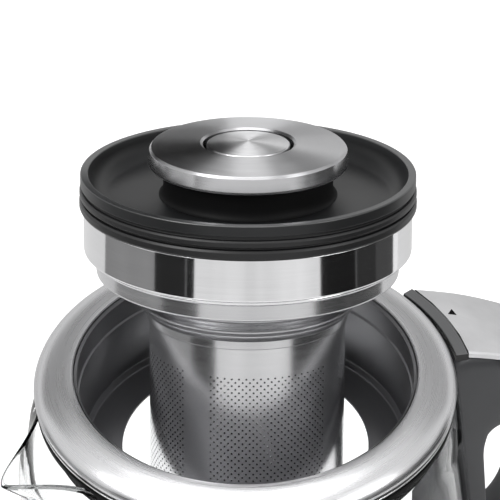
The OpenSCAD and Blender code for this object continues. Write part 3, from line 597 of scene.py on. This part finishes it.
def arched(name, r0, r1, z0, z1, half_angle, fillet, sides=72):
    """A piece of a ring: a rounded box section carried along an arc about the jug's axis,
    with both ends closed by shrinking the section to its middle."""
    box_line = outline([(r0, (z0 + z1) / 2), (r0, z0, fillet), (r1, z0, fillet), (r1, z1, fillet),
                        (r0, z1, fillet), (r0, (z0 + z1) / 2)], 3)[:-1]
    middle = np.array([(r0 + r1) / 2, (z0 + z1) / 2])
    ease = np.concatenate([[0, 0.9, 0.97], np.ones(sides - 6), [0.97, 0.9, 0]])
    run = np.linspace(-1, 1, sides - 4)
    run = np.concatenate([[-1, -1], run[0:], [1, 1]])
    ang = np.radians(half_angle) * run
    sect = middle + (box_line[None] - middle) * ease[:, None, None]
    r, z = sect[..., 0], sect[..., 1]
    points = np.stack([r * np.cos(ang)[:, None], r * np.sin(ang)[:, None], z], -1)
    turn = np.stack([np.cos(ang)[:, None] + 0 * r, np.sin(ang)[:, None] + 0 * r, r], -1)
    return skin(name, points, False, turn, 50.0)


strip = arched("handle_edge_strip", strip_r, strip_r + 4.75, rim_z - 9.9, rim_z - 6.92, 14.9, 0.5)
put(strip, "jug", moulded("strip_black", (0.008, 0.008, 0.0085), 0.3, 1200.0, 0.004, 0.0, 0.4),
    "strip_plastic", "handle_strip")
# Its upward faces get a lighter, glossier copy of the black: the lighter colour is painted highlight, the
# coat and shine are real gloss.
second_finish(strip, moulded("strip_top_painted_light", (0.06, 0.062, 0.065), 0.34, 1200.0, 0.004, 0.8, 1.0),
              face_values(strip, "normal")[:, 2] > 0.6)

# The top plate is a satin silver pressing with bright chamfered edges, curved about the
# jug's axis like the strip, and bonded into the handle.
plate_side = resample(arm_top, 80)
plate_half = half_width(plate_side[:, 0]) - 0.05
section = outline([(-1, -plate_t / 2), (-1, -plate_t), (1, -plate_t), (1, -0.55), (0.965, 0.0),
                   (0.5, 0.0), (0, 0.0), (-0.5, 0.0), (-0.965, 0.0), (-1, -0.55),
                   (-1, -plate_t / 2)])[:-1]
deep = np.stack([inset(plate_side, -d) for d in section[:, 1]], 1)
deep[0, :, 0], deep[0, :, 1] = arm_x, arm_z + section[:, 1] * 1.1
plate_y = section[None, :, 0] * plate_half[:, None]
plate_x = np.sqrt(deep[..., 0] ** 2 - plate_y ** 2)
plate_pts = np.stack([plate_x, plate_y, deep[..., 1]], -1)
cap_a = plate_pts[:1].copy()
cap_a[..., 2] = cap_a[..., 2].mean()
cap_b = plate_pts[-1:].mean(axis=1, keepdims=True) + 0 * plate_pts[-1:]
cap_a[..., 1] = plate_pts[:1, :, 1] * 0.5
cap_a[..., 0] = np.sqrt(arm_x ** 2 - cap_a[..., 1] ** 2)
cap_0 = cap_a.mean(axis=1, keepdims=True) + 0 * cap_a
plate_pts = np.concatenate([cap_0, cap_a, plate_pts, cap_b])
plate_turn = np.stack([plate_pts[..., 0] / 12, 0 * plate_pts[..., 0], plate_pts[..., 1]], -1)
plate_satin = plated("plate_satin", (0.7, 0.7, 0.71), 0.3)
put(skin("handle_top", plate_pts, False, plate_turn, 25.0), "jug", plate_satin,
    "handle_metal", "handle_plate")
refinish("handle_mark", moulded("mark_black", (0.003, 0.0025, 0.003), 0.7, 900.0, 0.01, 0.0, 0.03))

# ---------------------------------------------------------------- basket rings
# The basket's head is spun from 1.2 mm stainless sheet and polished: a tall ring that the
# lid fits, a rolled bead, a lower ring whose shoulder rests on the liner, and a neck.
lean, lean_to = math.radians(18.3), math.radians(27.4)
gone_back, gone_right, gone_up = 17.3, 0.5, 11.8
sieve_top = np.array([gone_back * math.sin(lean_to) + gone_right * math.cos(lean_to),
                      gone_back * math.cos(lean_to) - gone_right * math.sin(lean_to), rim_z + gone_up])


def held(p):
    """Moves points of the upright basket, z = 0 at the sieve's top, to where it is held: it
    leans back by the angle lean, towards lean_to from +Y, then moves to its place."""
    c, s = math.cos(lean), math.sin(lean)
    x, y, z = p[..., 0], p[..., 1] * c + p[..., 2] * s, -p[..., 1] * s + p[..., 2] * c
    c, s = math.cos(lean_to), math.sin(lean_to)
    return np.stack([x * c + y * s, -x * s + y * c, z], -1) + sieve_top


ring_a, ring_b, head_h = 60.1, 55.6, 42.5
step_a = head_h - 16.0
step_b = step_a - 2.4
bead = curve((ring_b + 1.4, step_a), (ring_b + 3.2, step_a - 1.2), (ring_b + 1.0, step_b), 9)
tall_line = np.vstack([
    outline([(59.6, 42.5), (ring_a, head_h, 0.4), (ring_a, step_a, 0.9), (ring_b + 1.4, step_a)]),
    bead[1:],
    [[ring_b - 0.2, step_b], [ring_b - 0.2, step_a + 1.2], [58.9, step_a + 1.2], [58.9, 42.5]]])
ring_polish = spun("ring_polish", (0.8, 0.8, 0.81), 0.09, 1.6, 0.3, 0.0003, 0.04)
put(turned("basket_ring", tall_line, 256, held), "basket", ring_polish, "ring_steel",
    "basket_rings")
neck = curve((44.7, 15.4), (40.6, 7.5), (37.9, 4.0), 25)
neck[:, 0] += 0.45 * np.sin(np.linspace(0, 3 * math.pi, 25)) ** 3
low_line = np.vstack([
    outline([(ring_b - 1.2, step_b), (ring_b, step_b, 0.2), (ring_b, 17.7, 1.0),
             (45.4, 17.7, 0.4), (44.7, 15.4)]),
    neck[1:], outline([(37.9, 4.0), (37.0, 3.2, 0.3), (37.0, 0.0, 0.3), (35.4, 0.0)])[1:],
    [[35.4, 3.6]], (neck + [-1.1, 1.1])[::-1],
    [[42.9, 18.9], [54.4, 18.9], [54.4, step_b]]])
ring_satin = spun("ring_satin", (0.62, 0.62, 0.63), 0.22, 2.6, 0.6, 0.001, 0.04)
put(turned("basket_neck", low_line, 256, held), "basket", ring_satin, "ring_steel")

# ---------------------------------------------------------------- sieve
# The sieve is rolled from etched sheet: four finely perforated panels, rows staggered by
# half a pitch, between four plain strips. Inside it is darker and duller than outside.
sieve_r, sieve_l, sieve_t = 36.2, 78.0, 0.8
panel_cols, strip_cols = 36, 7
half_pitch = math.radians(360.0 / (4 * (panel_cols + strip_cols)))
row_h, row_count, first_row = 1.33, 49, 11.0


def holed(u, v, du, dv, hole_u, hole_v, place):
    """Cells with a round hole: in each cell the eight points of the hole, outside and inside
    the sheet, join the four corners and edge middles of the cell. place maps (u, v, depth)."""
    t = np.arange(8) * math.pi / 4 + math.pi / 4
    edge = np.stack([np.clip(np.cos(t) * 1.5, -1, 1), np.clip(np.sin(t) * 1.5, -1, 1)], -1)
    ring = np.stack([np.cos(t), np.sin(t)], -1)
    cu, cv = u[:, None], v[:, None]
    eu, ev = cu + edge[:, 0] * du, cv + edge[:, 1] * dv
    hu, hv = cu + ring[:, 0] * hole_u, cv + ring[:, 1] * hole_v
    layers = [place(eu, ev, 0.0), place(hu, hv, 0.0), place(hu, hv, 1.0), place(eu, ev, 1.0)]
    pts = np.stack(layers, 1)
    cells = len(u)
    index = np.arange(cells * 32).reshape(cells, 4, 8)
    nxt = np.roll(index, -1, axis=2)
    quads = np.stack([index[:, :-1], nxt[:, :-1], nxt[:, 1:], index[:, 1:]], -1)
    return pts.reshape(-1, 3), quads.reshape(-1, 4)


def plain(u, v, du, dv, place):
    """Plain cells, outside and inside the sheet."""
    su = np.array([-1, 1, 1, -1]) * du
    sv = np.array([-1, -1, 1, 1]) * dv
    eu, ev = u[:, None] + su, v[:, None] + sv
    pts = np.concatenate([place(eu, ev, 0.0), place(eu, ev, 1.0)], 1)
    index = np.arange(len(u) * 8).reshape(-1, 8)
    return pts.reshape(-1, 3), np.concatenate([index[:, :4], index[:, [7, 6, 5, 4]]])


def on_tube(u, v, depth):
    """u half pitches round and v mm up the sieve, at depth sheets inside its outer face."""
    ang = u * half_pitch
    r = sieve_r - depth * sieve_t
    return np.stack([r * np.cos(ang), r * np.sin(ang), v], -1)


row = np.arange(row_count)
row_v = -first_row - row_h * (row + 0.5)
col = np.arange(panel_cols // 2)
hole_u, hole_v, plain_u, plain_v = [], [], [], []
first_col = math.radians(-112.7) / half_pitch
for quarter in range(4):
    base = first_col + quarter * (panel_cols + strip_cols)
    for odd in (0, 1):
        rows_now = row_v[odd::2]
        cols_now = base + 1 + odd + 2 * col[:len(col) - odd]
        gu, gv = np.meshgrid(cols_now, rows_now)
        hole_u.append(gu.ravel())
        hole_v.append(gv.ravel())
    spare = np.array([base + 0.5, base + panel_cols - 0.5])
    gu, gv = np.meshgrid(spare, row_v[1::2])
    plain_u.append(gu.ravel())
    plain_v.append(gv.ravel())
    gu, gv = np.meshgrid(base + panel_cols + 0.5 + np.arange(strip_cols), row_v)
    plain_u.append(gu.ravel())
    plain_v.append(gv.ravel())
hole_u, hole_v = np.concatenate(hole_u), np.concatenate(hole_v)
plain_u, plain_v = np.concatenate(plain_u), np.concatenate(plain_v)
hole_r = 0.38
pts_a, quads_a = holed(hole_u, hole_v, 1.0, row_h / 2, hole_r / (sieve_r * half_pitch), hole_r, on_tube)
pts_b, quads_b = plain(plain_u, plain_v, 0.5, row_h / 2, on_tube)
count_u = 4 * (panel_cols + strip_cols)
band_u = first_col + np.arange(count_u) + 0.5
low_v = -first_row - row_h * row_count
pts_c, quads_c = plain(band_u, 0 * band_u - first_row / 2, 0.5, first_row / 2, on_tube)
high, low = low_v, -sieve_l + 3.0
pts_d, quads_d = plain(band_u, 0 * band_u + (high + low) / 2, 0.5, (high - low) / 2, on_tube)
sets = [(pts_a, quads_a), (pts_b, quads_b), (pts_c, quads_c), (pts_d, quads_d)]
start, all_pts, all_quads = 0, [], []
for pts, quads in sets:
    all_pts.append(pts)
    all_quads.append(quads + start)
    start += len(pts)
all_pts, all_quads = np.concatenate(all_pts), np.concatenate(all_quads)
sieve_mesh = bpy.data.meshes.new("sieve_wall")
sieve_mesh.from_pydata((held(all_pts) * mm).tolist(), [], all_quads.tolist())
ang = np.arctan2(all_pts[:, 1], all_pts[:, 0])
sieve_grain = np.stack([np.cos(ang), np.sin(ang), all_pts[:, 2]], -1).astype(np.float32)
sieve_mesh.attributes.new("grain", "FLOAT_VECTOR", "POINT").data.foreach_set(
    "vector", sieve_grain.ravel())
loop_vert = np.empty(len(sieve_mesh.loops), np.int32)
sieve_mesh.loops.foreach_get("vertex_index", loop_vert)
turn_u = (ang[loop_vert] / (2 * math.pi)).reshape(-1, 4)
turn_u = np.where(turn_u - turn_u[:, :1] > 0.5, turn_u - 1, turn_u)
turn_u = np.where(turn_u - turn_u[:, :1] < -0.5, turn_u + 1, turn_u).ravel()
sieve_uv = np.stack([turn_u, all_pts[loop_vert, 2] * 0.01], -1).astype(np.float32)
sieve_mesh.uv_layers.new(name="round").data.foreach_set("uv", sieve_uv.ravel())
sieve_mesh.shade_smooth()
radial = np.stack([np.cos(ang), np.sin(ang), 0 * ang], -1)
facing = np.where(np.hypot(all_pts[:, 0], all_pts[:, 1]) > sieve_r - sieve_t / 2, 1.0, -1.0)
normals = held(radial * facing[:, None]) - sieve_top
loop_normals = normals[loop_vert]
poly_n = np.empty(len(sieve_mesh.polygons) * 3)
sieve_mesh.polygons.foreach_get("normal", poly_n)
poly_n = np.repeat(poly_n.reshape(-1, 3), 4, axis=0)
agree = (poly_n * loop_normals).sum(1)
loop_normals = np.where((np.abs(agree) > 0.7)[:, None], loop_normals * np.sign(agree)[:, None], poly_n)
sieve_mesh.normals_split_custom_set(loop_normals.tolist())
sieve_wall = bpy.data.objects.new("sieve_wall", sieve_mesh)
bpy.context.scene.collection.objects.link(sieve_wall)
sieve_polish = spun("sieve_polish", (0.7, 0.7, 0.71), 0.23, 1.2, 0.3, 0.00003, 0.03)
sieve_inside = spun("sieve_inside", (0.16, 0.16, 0.165), 0.4, 1.6, 0.3, 0.0002, 0.04)
put(sieve_wall, "basket", sieve_polish, "sieve_steel", "basket_sieve")
quad_r = np.hypot(all_pts[:, 0], all_pts[:, 1])[all_quads].mean(1)
second_finish(sieve_wall, sieve_inside, quad_r < sieve_r - 0.1)

# The bottom is a pressed disc with a rolled corner, welded to the wall.
floor_line = outline([(0, -78), (34, -78, 1.6), (36.2, -75.0), (35.4, -75.0), (33.6, -77.2, 1.0),
                      (0, -77.2)], 6)
put(turned("sieve_bottom", floor_line, 172, held, False), "basket", sieve_polish, "sieve_steel")

# ---------------------------------------------------------------- lid seal
# A black silicone seal with two ribs is stretched over the lid's rim wall.
lid_z = head_h + 13.1
seal_line = outline([
    (58.6, 42.8), (61.1, 42.8, 0.3), (61.6, 43.6, 0.5), (61.6, 45.6, 0.5), (61.1, 46.4, 0.3),
    (60.0, 46.6, 0.2), (60.0, 47.2, 0.2), (61.0, 47.3, 0.3), (61.5, 47.9, 0.5), (61.5, 49.4, 0.5),
    (61.0, 50.0, 0.3), (60.0, 50.2, 0.2), (60.0, 51.3), (58.6, 51.3)])
seal_black = moulded("seal_black", (0.008, 0.008, 0.0085), 0.4, 900.0, 0.006, 0.0, 0.4)
put(turned("lid_gasket", seal_line, 256, held), "lid", seal_black, "seal", "lid_seal")

# ---------------------------------------------------------------- lid
# The lid is a black dished moulding with a raised, rounded rim and a fine satin grain.
dish_z = lid_z - 8.5
dish_line = np.vstack([
    [[0, dish_z - 2]],
    outline([(3.6, dish_z - 2), (58.5, dish_z - 2, 0.5), (58.5, lid_z - 4.2, 0.3),
             (61.2, lid_z - 4.2, 0.6), (61.2, lid_z, 0.5), (58.4, lid_z, 0.4),
             (58.0, lid_z - 1.4)]),
    curve((58.0, lid_z - 1.4), (57.0, dish_z + 0.3), (51.5, dish_z), 14)[1:],
    [[50, dish_z], [40, dish_z], [36, dish_z], [0, dish_z]]])
lid_black = moulded("lid_black", (0.011, 0.0115, 0.0122), 0.38, 1700.0, 0.006, 0.0, 0.35)
lid_shell = turned("lid_shell", dish_line, 256, held)
put(lid_shell, "lid", lid_black, "lid_plastic", "lid_dish")
held_up = held(np.array([0.0, 0.0, 1.0])) - sieve_top
lid_height = (face_values(lid_shell, "center") / mm - sieve_top) @ held_up  # along the lid's axis
# The rim's top faces get a glossier black that is also lighter, 0.02 against the lid's 0.011: the gloss
# is real, the lighter colour is painted highlight.
second_finish(lid_shell, moulded("lid_rim_gloss_and_painted_light", (0.02, 0.021, 0.022), 0.3, 1700.0, 0.003, 0.0, 0.9),
              lid_height > lid_z - 0.3)

# ---------------------------------------------------------------- knob
# A wide black neck is screwed to the lid from below, and carries a turned steel disc
# with a conical top, bright bevel and brushed side.
top_z = lid_z + 9.6
disc_b = top_z - 6.7
neck_line = np.vstack([
    [[3.3, dish_z], [32.5, dish_z]],
    curve((32.6, dish_z + 0.1), (31.0, dish_z + 0.8), (31.0, dish_z + 4), 9),
    [[31.0, disc_b], [3.3, disc_b]]])
# The neck's near-black colour, 0.004 against the lid's 0.011, is painted shade for the disc's shadow over
# it.
put(turned("knob_stem", neck_line, 192, held), "lid",
    moulded("stem_black_painted_shade", (0.004, 0.004, 0.0042), 0.55, 1500.0, 0.01, 0.0, 0.12), "neck_plastic",
    "knob_neck")
disc_line = outline([
    (16.6, disc_b), (35.9, disc_b, 0.3), (36.5, disc_b + 0.8, 0.5), (36.0, top_z - 0.9, 0.2),
    (35.3, top_z, 0.2), (17.5, top_z + 1.6, 0.2), (16.6, top_z + 0.9, 0.2)])
disc_spun = spun("disc_spun", (0.5, 0.5, 0.51), 0.34, 3.0, 0.93, 0.002, 0.08)
knob_plate = turned("knob_plate", disc_line, 256, held)
put(knob_plate, "lid", disc_spun, "disc_steel", "knob_disc")
disc_edge = spun("disc_edge", (0.56, 0.56, 0.57), 0.2, 3.0, 0.5, 0.001, 0.06)
second_finish(knob_plate, disc_edge, np.abs(face_values(knob_plate, "normal") @ held_up) < 0.35)
refinish("knob_screws", screw_zinc)

# ---------------------------------------------------------------- lid button
# The button is a turned steel cap, slightly domed, on a stem that runs down through the
# knob; a dark gap shows all round it.
cap = curve((13.8, top_z + 1.2), (8, top_z + 2.0), (0, top_z + 2.1), 14)
button_line = np.vstack([
    [[0, dish_z - 3.5], [3.0, dish_z - 3.5], [3.0, top_z - 2.8]],
    outline([(3.0, top_z - 2.8), (15.2, top_z - 2.8, 0.4), (15.2, top_z + 1.1, 0.6),
             (13.8, top_z + 1.2)])[1:], cap[1:]])
button_spun = spun("button_spun", (0.66, 0.66, 0.67), 0.32, 3.0, 0.93, 0.002, 0.08)
put(turned("button_cap", button_line, 192, held, False), "button", button_spun, "button_steel",
    "knob_button")

# ---------------------------------------------------------------- studio
# A white floor and world, three soft lamps, and cards that only reflections see: they give
# the steel its dark and light bands.
scene = bpy.context.scene
scene.view_settings.view_transform = "Standard"
view_az, view_el = math.radians(26.5), math.radians(37.951)
away = np.array([math.sin(view_az), math.cos(view_az), 0])
right = np.array([math.cos(view_az), -math.sin(view_az), 0])
upward = np.array([0, 0, 1.0])


def seen_white(name, diffuse, glow):
    """Matt white that lamps light and shadows darken, plus a glow for camera, glossy and
    transmission rays only, so that it shows as the white background."""
    mat, tree, shader = finish(name, Roughness=0.9, Specular_IOR_Level=0.0)
    place = wire(tree, "ShaderNodeTexCoord").outputs["Object"]
    slow = wire(tree, "ShaderNodeTexNoise", Vector=place, Scale=3.0)
    soft = tuple([diffuse * 0.99] * 3)
    tree.links.new(tint(tree, slow.outputs["Fac"], soft, (diffuse,) * 3), shader.inputs["Base Color"])
    path = wire(tree, "ShaderNodeLightPath")
    seen = wire(tree, "ShaderNodeMath", operation="MAXIMUM")
    tree.links.new(path.outputs["Is Camera Ray"], seen.inputs[0])
    tree.links.new(path.outputs["Is Transmission Ray"], seen.inputs[1])
    shiny = wire(tree, "ShaderNodeMath", operation="MULTIPLY")
    tree.links.new(path.outputs["Is Glossy Ray"], shiny.inputs[0])
    shiny.inputs[1].default_value = 0.3
    level = wire(tree, "ShaderNodeMath", operation="MAXIMUM")
    tree.links.new(seen.outputs["Value"], level.inputs[0])
    tree.links.new(shiny.outputs["Value"], level.inputs[1])
    bright = wire(tree, "ShaderNodeMath", operation="MULTIPLY")
    tree.links.new(level.outputs["Value"], bright.inputs[0])
    bright.inputs[1].default_value = glow
    shader.inputs["Emission Color"].default_value = (1, 1, 1, 1)
    tree.links.new(bright.outputs["Value"], shader.inputs["Emission Strength"])
    return mat


def sheet_of(name, corners, mat):
    """A flat sheet through four corners in metres, part of the studio."""
    mesh = bpy.data.meshes.new(name)
    mesh.from_pydata([tuple(map(float, c)) for c in corners], [], [(0, 1, 2, 3)])
    sheet = bpy.data.objects.new(name, mesh)
    scene.collection.objects.link(sheet)
    sheet.data.materials.append(mat)
    return sheet


floor_white = seen_white("floor_white", 0.85, 0.45)
sheet_of("floor", [(-6, -6, 0), (6, -6, 0), (6, 6, 0), (-6, 6, 0)], floor_white)

world = bpy.data.worlds.new("studio")
scene.world = world
world.use_nodes = True
sky = world.node_tree
back = sky.nodes["Background"]
path = wire(sky, "ShaderNodeLightPath")
seen = wire(sky, "ShaderNodeMath", operation="MAXIMUM")
sky.links.new(path.outputs["Is Camera Ray"], seen.inputs[0])
sky.links.new(path.outputs["Is Transmission Ray"], seen.inputs[1])
shiny = wire(sky, "ShaderNodeMath", operation="MAXIMUM")
sky.links.new(seen.outputs["Value"], shiny.inputs[0])
sky.links.new(path.outputs["Is Glossy Ray"], shiny.inputs[1])
level = wire(sky, "ShaderNodeMapRange", Value=shiny.outputs["Value"])
level.inputs["To Min"].default_value = 0.35
level.inputs["To Max"].default_value = 1.0
back.inputs["Color"].default_value = (1, 1, 1, 1)
sky.links.new(level.outputs["Result"], back.inputs["Strength"])


def lamp(name, place, aim, size, watts):
    """A square soft lamp at place, turned to shine at aim."""
    data = bpy.data.lights.new(name, "AREA")
    data.size, data.energy = size, watts
    made = bpy.data.objects.new(name, data)
    scene.collection.objects.link(made)
    z = np.array(place) - np.array(aim)
    made.rotation_euler = Vector(z).to_track_quat("Z", "Y").to_euler()
    made.location = place
    return made


target = np.array([0, 0, 0.2])
lamp("key_lamp", target - 1.0 * right - 0.5 * away + 1.3 * upward, target, 0.9, 16)
lamp("fill_lamp", target + 1.3 * right - 0.6 * away + 0.9 * upward, target, 0.7, 7)
lamp("top_lamp", target + 0.3 * away + 1.6 * upward, target, 1.0, 10)


def flag(name, az0, az1, far, low, high, level):
    """A card that only reflections see. It stands at distance far from the axis between two
    bearings in degrees, counted from the camera's side to the right, from low to high."""
    corners = []
    for az, z in ((az0, low), (az1, low), (az1, high), (az0, high)):
        t = math.radians(az)
        spot = far * (math.sin(t) * right - math.cos(t) * away)
        corners.append((spot[0], spot[1], z))
    mat, tree, shader = finish(name, Specular_IOR_Level=0.0)
    place = wire(tree, "ShaderNodeTexCoord").outputs["Object"]
    slow = wire(tree, "ShaderNodeTexNoise", Vector=place, Scale=4.0)
    shade = tint(tree, slow.outputs["Fac"], (level * 0.9,) * 3, (level * 1.1,) * 3)
    shader.inputs["Base Color"].default_value = (0, 0, 0, 1)
    tree.links.new(shade, shader.inputs["Emission Color"])
    shader.inputs["Emission Strength"].default_value = 1.0
    card = sheet_of(name, corners, mat)
    card.visible_camera = False
    card.visible_diffuse = False
    card.visible_shadow = False
    card.visible_transmission = False
    return card


# Name, first and last bearing, distance, bottom, top and brightness.
cards = [
    ("flag_left", -63, -41, 0.55, 0.0, 0.3, 0.022),
    ("flag_left_line", -41, -40.2, 0.55, 0.0, 0.3, 0.2),
    ("flag_left_inner", -40.2, -35, 0.55, 0.0, 0.3, 0.016),
    ("flag_far_left", -122, -63, 0.5, 0.0, 0.19, 0.26),
    ("flag_right", 48, 74, 0.42, 0.0, 0.28, 0.012),
    ("flag_right_line", 74, 75, 0.42, 0.0, 0.28, 0.11),
    ("flag_right_middle", 75, 92, 0.42, 0.0, 0.26, 0.03),
    ("flag_right_outer", 92, 112, 0.42, 0.0, 0.24, 0.06),
    ("flag_back_left", 186, 238, 0.6, 0.36, 0.75, 0.34),
    ("flag_back_right", 122, 174, 0.6, 0.36, 0.75, 0.5),
    ("flag_front", -36, 49, 1.2, 0.0, 0.42, 0.85),
    ("flag_near_back", 118, 252, 0.34, 0.0, 0.2, 0.75),
    ("flag_knob_left", 184, 232, 0.09, 0.268, 0.34, 0.02),
    ("flag_knob_right", 150, 172, 0.09, 0.29, 0.32, 0.08),
]
for card in cards:
    flag(*card)

frame_px, focal_px, film = 500, 3630.5, 36.0
camera_far, aim_up, aim_right = 1.3, 0.25535, 0.0017
camera_data = bpy.data.cameras.new("photo_view")
camera_data.sensor_width = film
camera_data.lens = focal_px / frame_px * film
camera_data.clip_end = 50.0
camera = bpy.data.objects.new("photo_view", camera_data)
scene.collection.objects.link(camera)
look = math.cos(view_el) * away - math.sin(view_el) * upward
spot = aim_up * upward - camera_far * look + aim_right * right
lift_axis = np.cross(right, look)
camera.matrix_world = Matrix((
    (right[0], lift_axis[0], -look[0], spot[0]),
    (right[1], lift_axis[1], -look[1], spot[1]),
    (right[2], lift_axis[2], -look[2], spot[2]),
    (0, 0, 0, 1)))
scene.camera = camera
